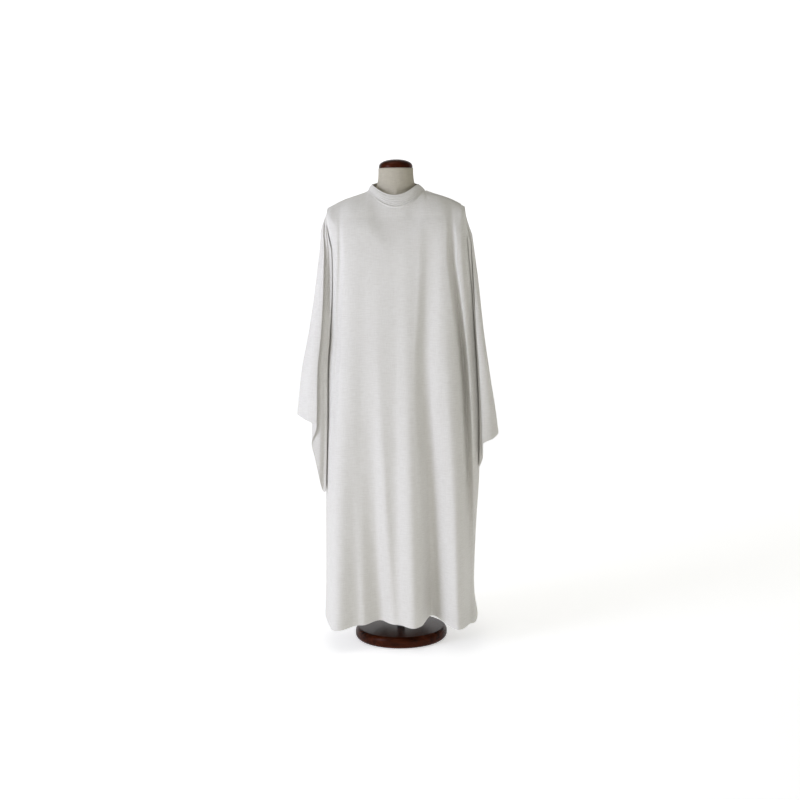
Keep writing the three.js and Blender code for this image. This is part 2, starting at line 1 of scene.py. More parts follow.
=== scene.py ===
"""Alb on a dress form, dressed around its frame. Sizes in the tables are millimetres."""

import math

import bpy
import numpy as np
from mathutils import Matrix, Vector


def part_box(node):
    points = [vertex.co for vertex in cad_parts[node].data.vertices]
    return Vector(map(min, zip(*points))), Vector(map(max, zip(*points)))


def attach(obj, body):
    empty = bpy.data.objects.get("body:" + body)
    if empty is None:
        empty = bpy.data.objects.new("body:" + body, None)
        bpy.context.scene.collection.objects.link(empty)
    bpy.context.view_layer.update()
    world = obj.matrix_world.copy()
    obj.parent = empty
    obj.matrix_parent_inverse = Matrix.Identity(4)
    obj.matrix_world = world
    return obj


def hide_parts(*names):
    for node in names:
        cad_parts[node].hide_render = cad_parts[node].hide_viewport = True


bl_info = {
    "name": "Alb on Dress Form",
    "version": (1, 0, 0),
    "blender": (4, 5, 0),
    "location": "View3D > Sidebar > Alb",
    "description": "Models a wide-cut alb on a limbless dress form, with its camera and light",
    "category": "Add Mesh",
}

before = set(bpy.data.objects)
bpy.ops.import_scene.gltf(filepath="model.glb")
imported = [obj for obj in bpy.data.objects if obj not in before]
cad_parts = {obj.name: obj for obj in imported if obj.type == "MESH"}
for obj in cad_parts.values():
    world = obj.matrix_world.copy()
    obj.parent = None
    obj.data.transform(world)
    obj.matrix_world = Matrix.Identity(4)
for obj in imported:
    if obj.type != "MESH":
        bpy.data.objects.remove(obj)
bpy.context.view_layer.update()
MM = 0.001

# Seams, in millimetres
SEAM_HALF = 0.15
SEAM_CLEAR = 0.5
RING_EXPONENT = 2.8
# Power that sets rows closer together towards the top
ROW_DENSITY = 1.55

# Neck seam and stand collar
NECK_HALF_WIDTH = 95
NECK_SIDE = {"y": 4, "z": 1551}
NECK_FRONT = {"y": -86, "z": 1499}
NECK_BACK = {"y": 76, "z": 1560}
RIM = {"half": 77, "x": -5, "front_y": -70, "back_y": 64,
       "side_z": 1573, "front_z": 1535, "back_z": 1588}
# Collar band: where it starts, how far it turns, how far its end laps over, the ramp to
# that and the level end (all turns in degrees), its bulge and lift, half a sewn row as a
# share of its height, and its faces round and down
COLLAR = {"start": 86, "turn": 372, "lap": 3.4, "ramp": 30, "level": 12, "bulge": 2,
          "lift": 0.4, "row_half": 0.055, "columns": 240, "rows": 64}
# Sewn rows round the collar: how far down from its rim, and how deep
COLLAR_ROWS = [(0.14, 1.7), (0.42, 1.2), (0.62, 1.3), (0.83, 1.6)]
# Shoulder strip, laid on a grid of the front panel: that grid's columns and even rows,
# the strip's first and last column on it, how far its edges lie from the shoulder seam,
# how far its outer face lies off the panel, its own faces, and how many cloths thick it is
STRIP = {"grid": 400, "first": 270, "last": 350, "near": 3, "far": 27, "off": 2.6,
         "columns": 60, "rows": 10, "cloths": 1.5}

# Shoulder seam, from the collar to the tip: x and z
SHOULDER_X = [95, 125, 152, 182, 231]
SHOULDER_Z = [1551, 1540, 1531.5, 1520.5, 1496]
TIP = {"x": 231, "z": 1496}
ARM_TOP_Z = 1462
ARM_TOP_HALF = 44
TIP_SHARE = 0.1
NECK_SHARE = 0.335
SEAM_INSET = {"low": 0.4, "high": 0.7}
# How far down a panel rounds over from its upper edge, and the curve's power
ROUNDING = {"tip": 42, "shoulder": 110, "neck": 165}
ROUND_POWER = {"shoulder": 0.5, "neck": 0.8}
# Shares of a panel's width over which one form runs into the next, and the share from
# which the form at the neck begins
EASE_OVER = {"folds": 0.1, "hem": 0.16, "neck_from": 0.24, "neck": 0.2, "tip": 0.1,
             "corner": 0.01}
# Usual half width and depth of the body, by which a panel's columns are spread evenly
OUTLINE = {"half": 250, "depth": 150}

# Body outline in plan, a row for each height: half widths on the wearer's right and
# left, depth in front and behind, and half of the armhole's opening
BODY_COLUMNS = ("z", "right", "left", "front", "back", "arm")
BODY_ROWS = [
    (80, 266, 270, 168, 205, SEAM_HALF),
    (170, 262, 257, 167, 202, SEAM_HALF),
    (280, 259, 258, 165, 197, SEAM_HALF),
    (430, 257, 266, 162, 190, SEAM_HALF),
    (570, 254, 276, 158, 180, SEAM_HALF),
    (780, 246, 279, 152, 162, SEAM_HALF),
    (950, 242, 273, 147, 145, SEAM_HALF),
    (1060, 233, 267, 143, 132, SEAM_HALF),
    (1200, 223, 257, 138, 120, 42),
    (1330, 221, 246, 132, 114, 60),
    (1400, 226, 240, 126, 110, 56),
    (1462, 236, 233, 114, 104, 44),
    (1500, 226, 226, 104, 96, 44),
]

# Folds of the panels, a row for each: its name, its x and how far it stands out at the
# hem, knee, waist and chest, and its half width towards the wearer's right and left
FOLD_Z = [85, 520, 950, 1320]
# No fold stands out above this height, and each is at its full depth this far below it
FOLD_FADE = {"top": 1500, "over": 180}
FRONT_FOLDS = [
    ("right corner crest", (-230, -219, -194, -170), (72, 34, 12, 4), 40, 94),
    ("right side trough", (-246, -236, -209, -188), (-2, -8, -10, -8), 14, 15),
    ("right valley", (-70, -88, -106, -112), (-48, -18, -4, 0), 66, 54),
    ("small crest", (-50, -58, -62, -60), (3, 3, 1, 0), 28, 28),
    ("inner valley", (-16, -18, -20, -20), (-8, -6, -1, 0), 36, 32),
    ("centre crest", (42, 35, 30, 28), (26, 15, 6, 1), 48, 44),
    ("main valley", (106, 102, 87, 104), (-80, -44, -22, -6), 40, 60),
    ("left crest", (196, 188, 168, 160), (60, 30, 12, 3), 56, 80),
    ("left deep valley", (236, 236, 222, 184), (-4, -30, -52, -20), 25, 20),
    ("left edge crest", (256, 256, 246, 216), (26, 8, 10, 6), 26, 18),
]
BACK_FOLDS = [
    ("right corner crest", (-206, -200, -186, -168), (44, 30, 14, 4), 44, 50),
    ("right valley", (-128, -126, -122, -118), (-54, -34, -16, -4), 46, 46),
    ("inner right crest", (-60, -60, -56, -52), (36, 24, 10, 3), 46, 44),
    ("middle valley", (10, 8, 4, 2), (-50, -32, -14, -5), 42, 46),
    ("inner left crest", (78, 74, 66, 62), (40, 26, 11, 3), 44, 46),
    ("left valley", (140, 136, 128, 122), (-56, -38, -18, -5), 44, 44),
    ("left corner crest", (212, 208, 190, 168), (42, 30, 14, 4), 50, 42),
]
# Hem: its height in front, at the sides and behind, how far it sinks for each
# millimetre that a fold stands out, and the height and number of the fine rows above it
HEM = {"front": 86, "side": 90, "back": 126, "lift": 0.13, "fine": 44, "rows": 34}
# Sewn lines: how far from each edge, how deep and half how wide the cloth is drawn in,
# the length, gap and thickness of a stitch, and how far it stays from the line's ends
SEW = {"hem": 26, "cuff": 22, "shoulder": 7, "deep": 0.7, "half": 3.2,
       "stitch": 3.2, "gap": 1.3, "thick": 0.45, "margin": 2}
# Low ridge of the panels round the collar's foot
NECK_RIDGE = {"at": 5.5, "half": 5.0, "rise": 2.2}

# Underarm: its height, how far a sleeve stands off the body below it, and the ramp to it
UNDERARM_Z = 1060
UNDERARM_CLEAR = 3
UNDERARM_RAMP = {"above": 40, "over": 160}
# Sleeves' faces from one line to the next and down, and where the fine rows at a cuff
# begin, as a share of the way down before the rows are set closer
SLEEVE_STEPS = 12
SLEEVE_ROWS = 130
CUFF_FINE = 0.972
# Sleeves as lines from the armhole to the cuff, a row for each: how far out of the
# seam it lies and its y at four stations, and the height of the cuff there. A line with
# None lies along the seam or is laid on the body
STATIONS = [0.12, 0.3, 0.62, 1]
RIGHT_SLEEVE = [
    ("front seam", None, None, 548),
    ("laid on the front", None, None, 538),
    ("inner pleat crest", (5, 6, 4, 4), (-60, -70, -76, -72), 536),
    ("pleat face", (10, 14, 14, 16), (-60, -75, -85, -82), 580),
    ("under the flap", (18, 28, 30, 33), (-52, -72, -84, -80), 650),
    ("hidden fold", (21, 34, 40, 44), (-45, -69, -83, -79), 700),
    ("flap edge", (18, 24, 25, 28), (-52, -84, -99, -96), 764),
    ("flap face", (27, 38, 52, 64), (-27, -66, -86, -80), 780),
    ("top fold", (30, 50, 73, 100), (-4, -18, -26, -24), 796),
    ("back face", (27, 42, 62, 78), (22, 34, 36, 36), 788),
    ("back crest", (17, 28, 38, 42), (46, 76, 92, 88), 716),
    ("back trough", (11, 20, 24, 28), (58, 62, 66, 62), 636),
    ("inner back crest", (5, 8, 8, 8), (62, 80, 86, 78), 572),
    ("laid on the back", None, None, 552),
    ("back seam", None, None, 548),
]
LEFT_SLEEVE = [
    ("front seam", None, None, 606),
    ("laid on the front", None, None, 612),
    ("inner wall", (6, 5, 3, 3), (-60, -68, -78, -70), 640),
    ("flap edge", (9, 3, -3, 1), (-58, -84, -100, -94), 692),
    ("flap face", (14, 16, 24, 38), (-40, -72, -90, -86), 712),
    ("top fold", (16, 22, 28, 60), (-6, -18, -26, -28), 724),
    ("back face", (14, 20, 25, 44), (26, 38, 40, 34), 718),
    ("back crest", (12, 15, 18, 13), (48, 78, 94, 88), 680),
    ("back trough", (8, 10, 12, 9), (58, 66, 68, 62), 640),
    ("inner back crest", (5, 6, 6, 5), (62, 76, 80, 70), 614),
    ("laid on the back", None, None, 608),
    ("back seam", None, None, 606),
]
# Lines laid on the body: their share of the way round from its side, and how far off it
LAID = {"share": 0.09, "off": 3.0}
# Height at which each sleeve's seam ends, on the frame's own rows
SEAM_END = {"right": 565.4, "left": 637.4}

# Camera: the photograph's place, pitch and roll
CAMERA = {"x": 5, "y": -4600, "z": 1410, "pitch": 7.1, "roll": -0.68, "lens": 60.5}
# Paper sweep behind, in metres
SWEEP = {"front": 7.0, "back": 3.2, "radius": 1.6, "length": 16.0, "width": 26.0}
# Lamps: name, place in metres, size, watts and colour
LAMPS = [
    ("key", (-4.2, -2.8, 1.7), 2.2, 134, (0.79, 0.82, 1.0)),
    ("front", (-0.6, -5.2, 2.2), 2.2, 10, (0.97, 0.98, 1.0)),
    ("top", (-0.8, -0.5, 4.2), 2.0, 16, (1.0, 1.0, 1.0)),
]
LAMP_AIM = (0, 0, 0.85)
SKY = {"colour": (1, 0.985, 0.9, 1), "strength": 0.32}

# Form, in metres: the cap's straight edge and the rings of its crown, the width and
# steps of the base's rounded edges, and the radius at which the linen's map is to scale
CAP = {"edge": 0.007, "rings": 14}
BASE_EDGES = {"upper": (0.015, 10), "lower": (0.007, 5)}
LINEN_RADIUS = 0.065


def blend(start, end, share):
    return start + (end - start) * share


def ease(value):
    t = np.clip(value, 0, 1)
    return t * t * (3 - 2 * t)


def smooth(knots, values, at):
    """Smooth curve through rising knots, level past both ends."""
    knots = np.asarray(knots, float)
    values = np.asarray(values, float)
    last = len(knots) - 1
    low = np.maximum(np.arange(last + 1) - 1, 0)
    high = np.minimum(np.arange(last + 1) + 1, last)
    slopes = (values[high] - values[low]) / (knots[high] - knots[low])
    at = np.clip(at, knots[0], knots[-1])
    k = np.clip(np.searchsorted(knots, at, side="right") - 1, 0, last - 1)
    span = knots[k + 1] - knots[k]
    t = (at - knots[k]) / span
    result = ((2 * t - 3) * t * t + 1) * values[k] + ((t - 2) * t + 1) * t * span * slopes[k]
    return result + (3 - 2 * t) * t * t * values[k + 1] + (t - 1) * t * t * span * slopes[k + 1]


def spread_over(knots, at):
    """Weights of each knot's value at each place."""
    return np.stack([smooth(knots, row, at) for row in np.eye(len(knots))], axis=-1)


def row_shares(fine, rows):
    """Shares of the way down: even rows as far as the share fine, then closer ones."""
    low = np.linspace(fine, 1, HEM["rows"] + 1)[1:]
    return np.concatenate([np.linspace(0, fine, rows + 1), low])


def body(column, z):
    table = list(zip(*BODY_ROWS))
    value = smooth(table[0], table[BODY_COLUMNS.index(column)], z)
    if column == "arm":
        value = np.maximum(SEAM_HALF, np.where(z > UNDERARM_Z, value, 0))
    return value


def even_turn(share):
    """Turn round half of a rounded outline that goes evenly along its length."""
    angle = np.linspace(0, math.pi, 801)
    c = -np.cos(angle)
    x = OUTLINE["half"] * np.sign(c) * np.abs(c) ** (2 / RING_EXPONENT)
    y = OUTLINE["depth"] * np.abs(np.sin(angle)) ** (2 / RING_EXPONENT)
    length = np.concatenate([[0], np.cumsum(np.hypot(np.diff(x), np.diff(y)))])
    return np.interp(share, length / length[-1], angle)


def bump(distance):
    return np.where(np.abs(distance) >= 1, 0, 0.5 * (1 + np.cos(np.pi * distance)))


def fold_push(folds, x, z):
    grown = np.clip((FOLD_Z[3] - z) / (FOLD_Z[3] - FOLD_Z[0]), 0, 1)
    spread = 0.8 + 0.2 * grown
    push = 0
    for _, xs, outs, less, more in folds:
        at = smooth(FOLD_Z, xs, z)
        width = np.where(x < at, less, more) * spread
        push = push + smooth(FOLD_Z, outs, z) * bump((x - at) / width)
    return push * ease((FOLD_FADE["top"] - z) / FOLD_FADE["over"])


PANELS = {
    "front": {"sign": -1, "folds": FRONT_FOLDS, "neck": NECK_FRONT, "hem": HEM["front"]},
    "back": {"sign": 1, "folds": BACK_FOLDS, "neck": NECK_BACK, "hem": HEM["back"]},
}


def ring_point(side, u, z):
    panel = PANELS[side]
    angle = even_turn(u)
    c = -np.cos(angle)
    half = np.where(c < 0, body("right", z), body("left", z))
    x = half * np.sign(c) * np.abs(c) ** (2 / RING_EXPONENT)
    arm = body("arm", z)
    reach = body(side, z) - arm
    y = arm + reach * np.clip(np.sin(angle), 0, 1) ** (2 / RING_EXPONENT)
    fade = ease(np.minimum(u, 1 - u) / EASE_OVER["folds"])
    return x, panel["sign"] * (y + fade * fold_push(panel["folds"], x, z))


def neck_seam(degrees):
    angle = np.radians(degrees)
    c = np.cos(angle)
    front = c > 0
    reach = np.where(front, NECK_SIDE["y"] - NECK_FRONT["y"], NECK_BACK["y"] - NECK_SIDE["y"])
    rise = np.where(front, NECK_FRONT["z"], NECK_BACK["z"]) - NECK_SIDE["z"]
    y = NECK_SIDE["y"] - reach * c
    return NECK_HALF_WIDTH * np.sin(angle), y, NECK_SIDE["z"] + rise * c * c


def top_point(side, u):
    """Upper edge of a panel: armhole arc, shoulder seam, neck seam and back again."""
    sign = PANELS[side]["sign"]
    hand = np.where(u < 0.5, -1, 1)
    share = np.minimum(u, 1 - u)
    turn = np.clip(share / TIP_SHARE, 0, 1) * (math.pi / 2)
    low = np.where(hand < 0, body("right", ARM_TOP_Z), body("left", ARM_TOP_Z))
    arc_x = blend(low, TIP["x"], np.sin(turn))
    arc_y = sign * (SEAM_HALF + (ARM_TOP_HALF - SEAM_HALF) * np.cos(turn))
    arc_z = blend(ARM_TOP_Z, TIP["z"], np.sin(turn))
    along = np.clip((share - TIP_SHARE) / (NECK_SHARE - TIP_SHARE), 0, 1)
    seam_x = blend(TIP["x"], NECK_HALF_WIDTH, along)
    seam_y = NECK_SIDE["y"] * ease(along) + sign * SEAM_HALF
    seam_z = smooth(SHOULDER_X, SHOULDER_Z, seam_x)
    around = np.clip((share - NECK_SHARE) / (0.5 - NECK_SHARE), 0, 1)
    turn_neck = 90 * (1 - around)
    neck_x, neck_y, neck_z = neck_seam(turn_neck if sign < 0 else 180 - turn_neck)
    neck_y = neck_y + sign * SEAM_HALF * (1 - ease(around * 3))
    where = [share < TIP_SHARE, share < NECK_SHARE]
    x = np.select(where, [arc_x, seam_x], neck_x)
    y = np.select(where, [arc_y, seam_y], neck_y)
    z = np.select(where, [arc_z, seam_z], neck_z)
    return hand * x, y, z


def hem_z(side, u):
    panel = PANELS[side]
    low = np.full_like(u, HEM["front"])
    x, _ = ring_point(side, u, low)
    push = fold_push(panel["folds"], x, low)
    inward = ease(np.minimum(u, 1 - u) / EASE_OVER["hem"])
    return blend(HEM["side"], panel["hem"], inward) - HEM["lift"] * push * inward


def panel_grid(side, columns, rows):
    """Points of a panel, across to the right as seen from outside, and down."""
    fine = 1 - HEM["fine"] / (ROW_DENSITY * (TIP["z"] - HEM["front"]))
    down = row_shares(fine, rows)
    u, v = np.meshgrid(np.linspace(0, 1, columns + 1), down, indexing="ij")
    if side == "back":
        u = 1 - u
    top = top_point(side, u)
    z = blend(top[2], hem_z(side, u), v ** ROW_DENSITY)
    x, y = ring_point(side, u, np.minimum(z, ARM_TOP_Z))
    share = np.minimum(u, 1 - u)
    neckness = ease((share - EASE_OVER["neck_from"]) / EASE_OVER["neck"])
    past_tip = ease((share - TIP_SHARE) / EASE_OVER["tip"])
    drop = blend(ROUNDING["tip"], ROUNDING["shoulder"], past_tip)
    left = 1 - np.clip((top[2] - z) / blend(drop, ROUNDING["neck"], neckness), 0, 1)
    power = blend(ROUND_POWER["shoulder"], ROUND_POWER["neck"], neckness)
    full = (1 - left * left) ** power
    points = np.stack([blend(top[0], x, full), blend(top[1], y, full), z], axis=-1)
    way = outward(points)
    from_top, from_hem = edge_distances(points)
    at_neck = ease((share - NECK_SHARE) / EASE_OVER["corner"])
    on_shoulder = ease((share - TIP_SHARE) / EASE_OVER["corner"]) * (1 - at_neck)
    rise = NECK_RIDGE["rise"] * at_neck * bump((from_top - NECK_RIDGE["at"]) / NECK_RIDGE["half"])
    sunk = SEW["deep"] * bump((from_hem - SEW["hem"]) / SEW["half"])
    sunk = sunk + SEW["deep"] * on_shoulder * bump((from_top - SEW["shoulder"]) / SEW["half"])
    return points + way * (rise - sunk)[..., None]


def edge_distances(points):
    """Distance of each point from the upper and from the lower edge, along the cloth."""
    steps = np.linalg.norm(np.diff(points, axis=1), axis=-1)
    along = np.concatenate([np.zeros((len(points), 1)), np.cumsum(steps, axis=1)], axis=1)
    return along, along[:, -1:] - along


def beside(side, face, share, z):
    """A place on the body round from its side, as x outwards and y."""
    u = np.zeros_like(z) + (share if side == "right" else 1 - share)
    x, y = ring_point(face, u, np.minimum(z, ARM_TOP_Z))
    return np.stack([np.abs(x), y])


def sleeve_lines(side, across, share):
    """Points of a sleeve along its lines, before its seams are drawn in."""
    lines = RIGHT_SLEEVE if side == "right" else LEFT_SLEEVE
    hand = -1 if side == "right" else 1
    last = len(lines) - 1
    weights = spread_over(range(last + 1), across)
    turn = np.pi * across / last
    inset = blend(SEAM_INSET["low"], SEAM_INSET["high"], np.sin(turn))
    top_half = ARM_TOP_HALF - SEAM_HALF - inset
    top_x = blend(body(side, ARM_TOP_Z), TIP["x"], np.sin(turn))
    top_y = -np.sign(np.round(np.cos(turn), 9)) * SEAM_HALF - top_half * np.cos(turn)
    top_z = blend(ARM_TOP_Z, TIP["z"] - inset, np.sin(turn))
    cuffs = [SEAM_END[side] if k in (0, last) else line[3] for k, line in enumerate(lines)]
    z = blend(top_z, weights @ np.array(cuffs, float), share)
    below = UNDERARM_Z + UNDERARM_RAMP["above"] - z
    clear = UNDERARM_CLEAR * ease(below / UNDERARM_RAMP["over"])
    seam_x = body(side, np.minimum(z, ARM_TOP_Z)) + SEAM_CLEAR + clear
    places = []
    for k, (_, outs, ys, _) in enumerate(lines):
        sign = -1 if k < last / 2 else 1
        if k in (0, last):
            places.append((seam_x, sign * body("arm", z)))
        elif outs is None:
            spot = beside(side, "front" if sign < 0 else "back", LAID["share"], z)
            places.append((spot[0] + LAID["off"], spot[1] + sign * LAID["off"]))
        else:
            places.append((seam_x + smooth(STATIONS, outs, share), smooth(STATIONS, ys, share)))
    x, y = [
        sum(weights[..., k] * place[axis] for k, place in enumerate(places))
        for axis in (0, 1)
    ]
    settled = np.clip(share / STATIONS[0], 0, 1)
    left = 1 - np.clip((ARM_TOP_Z - z) / ROUNDING["tip"], 0, 1)
    on_seam = (across == 0) | (across == last)
    seam_share = np.sqrt(1 - left * left)
    out_share = np.where(on_seam, seam_share, settled ** 1.2)
    y_share = np.where(on_seam, seam_share, ease(settled))
    x = hand * blend(top_x + SEAM_CLEAR, x, out_share)
    return np.stack([x, blend(top_y, y, y_share), z], axis=-1)


def sleeve_grid(side, rows):
    """A sleeve's points: smooth round its lines, and along the body beside its seams."""
    hand = -1 if side == "right" else 1
    last = len(RIGHT_SLEEVE if side == "right" else LEFT_SLEEVE) - 1
    steps = np.arange(last * SLEEVE_STEPS + 1) / SLEEVE_STEPS
    down = row_shares(CUFF_FINE, rows)
    across, share = np.meshgrid(steps, down ** ROW_DENSITY, indexing="ij")
    points = sleeve_lines(side, across, share)
    settled = ease(share[0] / STATIONS[0])
    for face, seam, spot in (("front", 0, 1), ("back", last, last - 1)):
        seam_line = points[seam * SLEEVE_STEPS].copy()
        spot_line = points[spot * SLEEVE_STEPS].copy()
        for k in range(1, SLEEVE_STEPS):
            part = k / SLEEVE_STEPS
            line = blend(seam_line, spot_line, part)
            z = line[:, 2]
            ends = [beside(side, face, LAID["share"] * at, z) for at in (0, 1)]
            bow = beside(side, face, LAID["share"] * part, z) - blend(ends[0], ends[1], part)
            line[:, 0] += hand * bow[0] * settled
            line[:, 1] += bow[1] * settled
            points[seam * SLEEVE_STEPS + (k if spot > seam else -k)] = line
    points = points[::-1] if side == "right" else points
    _, from_cuff = edge_distances(points)
    sunk = SEW["deep"] * bump((from_cuff - SEW["cuff"]) / SEW["half"])
    return points - outward(points) * sunk[..., None]


def collar_grid(columns, rows):
    u, v = np.meshgrid(np.linspace(0, 1, columns + 1), np.linspace(0, 1, rows + 1), indexing="ij")
    turn = COLLAR["turn"] * u
    degrees = COLLAR["start"] + turn
    ramp_start = COLLAR["turn"] - COLLAR["ramp"] - COLLAR["level"]
    lap = COLLAR["lap"] * ease((turn - ramp_start) / COLLAR["ramp"])
    angle = np.radians(degrees)
    s, c = np.sin(angle), np.cos(angle)
    foot = neck_seam(degrees)
    rim_x = RIM["x"] + RIM["half"] * s
    rim_y = np.abs(c) * np.where(c > 0, RIM["front_y"], RIM["back_y"])
    rise = np.where(c > 0, RIM["front_z"], RIM["back_z"]) - RIM["side_z"]
    rim_z = RIM["side_z"] + rise * c * c
    out = lap + COLLAR["bulge"] * np.sin(np.pi * v)
    for place, deep in COLLAR_ROWS:
        out = out - deep * bump((v - place) / COLLAR["row_half"])
    x = blend(rim_x, foot[0], v) + out * s
    y = blend(rim_y, foot[1], v) - out * c
    return np.stack([x, y, blend(rim_z, foot[2] + COLLAR["lift"], v)], axis=-1)


def outward(points):
    """Unit way out of a grid of points."""
    across = np.gradient(points, axis=0)
    down = np.gradient(points, axis=1)
    way = np.cross(down, across)
    return way / np.maximum(np.linalg.norm(way, axis=-1, keepdims=True), 1e-9)


def strip_grid(columns, rows):
    """Shoulder strip, laid on the front panel beside the shoulder seam."""
    panel = panel_grid("front", STRIP["grid"], STRIP["grid"])
    way = outward(panel)
    down, _ = edge_distances(panel)
    result = np.zeros((columns + 1, rows + 1, 3))
    for i, column in enumerate(np.linspace(STRIP["first"], STRIP["last"], columns + 1)):
        k = int(round(column))
        for j, distance in enumerate(np.linspace(STRIP["near"], STRIP["far"], rows + 1)):
            point = [np.interp(distance, down[k], panel[k, :, n]) for n in range(3)]
            normal = [np.interp(distance, down[k], way[k, :, n]) for n in range(3)]
            result[i, j] = np.array(point) + STRIP["off"] * np.array(normal)
    return result


class Wire:
    """A shader socket that adds, multiplies and compares as a number does."""

    def __init__(self, tree, socket):
        self.tree = tree
        self.socket = socket

    def make(self, kind, settings=None, inputs=None, out=0):
        """Any node: its settings first, then its sockets' values or links."""
        node = self.tree.nodes.new(kind)
        for name, value in (settings or {}).items():
            if name == "stops":
                for element, (place, colour) in zip(node.color_ramp.elements, value):
                    element.position = place
                    element.color = colour
            else:
                setattr(node, name, value)
        for name, value in (inputs or {}).items():
            if isinstance(value, Wire):
                self.tree.links.new(value.socket, node.inputs[name])
            else:
                node.inputs[name].default_value = value
        return Wire(self.tree, node.outputs[out])

    def maths(self, operation, first, second=0.0):
        return self.make("ShaderNodeMath", {"operation": operation}, {0: first, 1: second})

    def __add__(self, other):
        return self.maths("ADD", self, other)

    def __radd__(self, other):
        return self.maths("ADD", other, self)

    def __sub__(self, other):
        return self.maths("SUBTRACT", self, other)

    def __rsub__(self, other):
        return self.maths("SUBTRACT", other, self)

    def __mul__(self, other):
        return self.maths("MULTIPLY", self, other)

    def __rmul__(self, other):
        return self.maths("MULTIPLY", other, self)

    def mix(self, first, second):
        """Colour between two, by this wire."""
        settings = {"data_type": "RGBA", "clamp_factor": True}
        return self.make("ShaderNodeMix", settings, {0: self, 6: first, 7: second}, out=2)


def new_material(name, constants):
    material = bpy.data.materials.new(name)
    material.use_nodes = True
    tree = material.node_tree
    shader = tree.nodes["Principled BSDF"]
    for socket, value in constants.items():
        shader.inputs[socket].default_value = value
    return material, tree, shader, Wire(tree, None)


def feed(tree, shader, links):
    for socket, wire in links.items():
        tree.links.new(wire.socket, shader.inputs[socket])


def stretched_noise(wires, vector, scale, detail=2.0, roughness=0.5):
    """Noise whose features are stretched along an axis, by its scale in each."""
    placed = wires.make("ShaderNodeMapping", {}, {"Vector": vector, "Scale": scale})
    return wires.make("ShaderNodeTexNoise", {}, {
        "Vector": placed, "Scale": 1.0, "Detail": detail, "Roughness": roughness,
    })


def woven_material(name, colour, shade, pitch, relief, slub, constants):
    """Plain cross weave on the piece's own metric UV map."""
    material, tree, shader, wires = new_material(name, constants)
    uv = wires.make("ShaderNodeUVMap", {"uv_map": "cloth"})
    turn = 2 * math.pi / pitch
    parts = wires.make("ShaderNodeSeparateXYZ", {}, {"Vector": uv})
    node = parts.socket.node
    along = Wire(tree, node.outputs["X"])
    down = Wire(tree, node.outputs["Y"])
    warp = wires.maths("SINE", along * turn)
    weft = wires.maths("SINE", down * turn)
    threads = warp * weft
    weft_slub = stretched_noise(wires, uv, (34.0, 300.0, 1.0), 3.0, 0.6)
    warp_slub = stretched_noise(wires, uv, (290.0, 30.0, 1.0), 3.0, 0.6)
    cloud = stretched_noise(wires, uv, (3.0, 3.0, 1.0), 3.0)
    height = threads * 0.35 + weft_slub + warp_slub * 0.8
    tone = weft_slub * 0.55 + warp_slub * 0.35 + cloud * 0.3 + threads * 0.06
    mask = wires.maths("MULTIPLY_ADD", tone, slub)
    mask.socket.node.inputs[2].default_value = 0.5 - 0.6 * slub
    base = mask.mix((*shade, 1), (*colour, 1))
    normal = wires.make("ShaderNodeBump", {}, {
        "Strength": 1.0, "Distance": relief, "Height": height,
    })
    feed(tree, shader, {"Base Color": base, "Normal": normal})
    return material


def wood_material(name, dark, warm, constants):
    """Polished dark wood with a fine grain, on object coordinates."""
    material, tree, shader, wires = new_material(name, constants)
    place = wires.make("ShaderNodeTexCoord", {}, {}, out=3)
    grain = stretched_noise(wires, place, (9.0, 70.0, 60.0), 5.0, 0.6)
    fine = stretched_noise(wires, place, (60.0, 900.0, 500.0), 3.0, 0.6)
    ramp = {"stops": [(0.3, (0, 0, 0, 1)), (0.7, (1, 1, 1, 1))]}
    mask = wires.make("ShaderNodeValToRGB", ramp, {"Fac": grain * 0.75 + fine * 0.25})
    base = mask.mix((*dark, 1), (*warm, 1))
    rough = fine * 0.12 + 0.2
    normal = wires.make("ShaderNodeBump", {}, {
        "Strength": 0.25, "Distance": 0.0002, "Height": fine,
    })
    feed(tree, shader, {"Base Color": base, "Roughness": rough, "Normal": normal})
    return material


def steel_material(name, constants):
    material, tree, shader, wires = new_material(name, constants)
    place = wires.make("ShaderNodeTexCoord", {}, {}, out=3)
    lines = stretched_noise(wires, place, (900.0, 900.0, 12.0), 2.0)
    feed(tree, shader, {"Roughness": lines * 0.25 + 0.25})
    return material


def deselect():
    if bpy.context.object and bpy.context.object.mode != "OBJECT":
        bpy.ops.object.mode_set(mode="OBJECT")
    bpy.ops.object.select_all(action="DESELECT")


def only(piece):
    deselect()
    piece.select_set(True)
    bpy.context.view_layer.objects.active = piece


def make_sheet(name, points, thickness):
    """A thin closed wall on a grid of points in millimetres, with a metric UV map."""
    columns, rows = points.shape[0] - 1, points.shape[1] - 1
    index = np.arange((columns + 1) * (rows + 1)).reshape(columns + 1, rows + 1)
    quads = np.stack([index[:-1, :-1], index[:-1, 1:], index[1:, 1:], index[1:, :-1]], axis=-1)
    mesh = bpy.data.meshes.new(name)
    mesh.from_pydata((points.reshape(-1, 3) * MM).tolist(), [], quads.reshape(-1, 4).tolist())
    steps = np.linalg.norm(np.diff(points, axis=0), axis=-1)
    across = np.concatenate([np.zeros((1, rows + 1)), np.cumsum(steps, axis=0)], axis=0)
    across = across - across[(columns + 1) // 2]
    height = points[:, -1:, 2] + edge_distances(points)[1]
    metric = np.stack([across, height], axis=-1).reshape(-1, 2) * MM
    layer = mesh.uv_layers.new(name="cloth")
    corner = np.empty(len(mesh.loops), dtype=np.int64)
    mesh.loops.foreach_get("vertex_index", corner)
    layer.data.foreach_set("uv", metric[corner].ravel())
    piece = bpy.data.objects.new(name, mesh)
    bpy.context.collection.objects.link(piece)
    only(piece)
    solid = piece.modifiers.new("wall", "SOLIDIFY")
    solid.thickness = thickness
    solid.offset = -1
    solid.use_even_offset = False
    bpy.ops.object.modifier_apply(modifier=solid.name)
    bpy.ops.object.shade_smooth_by_angle(angle=math.radians(50))
    return piece


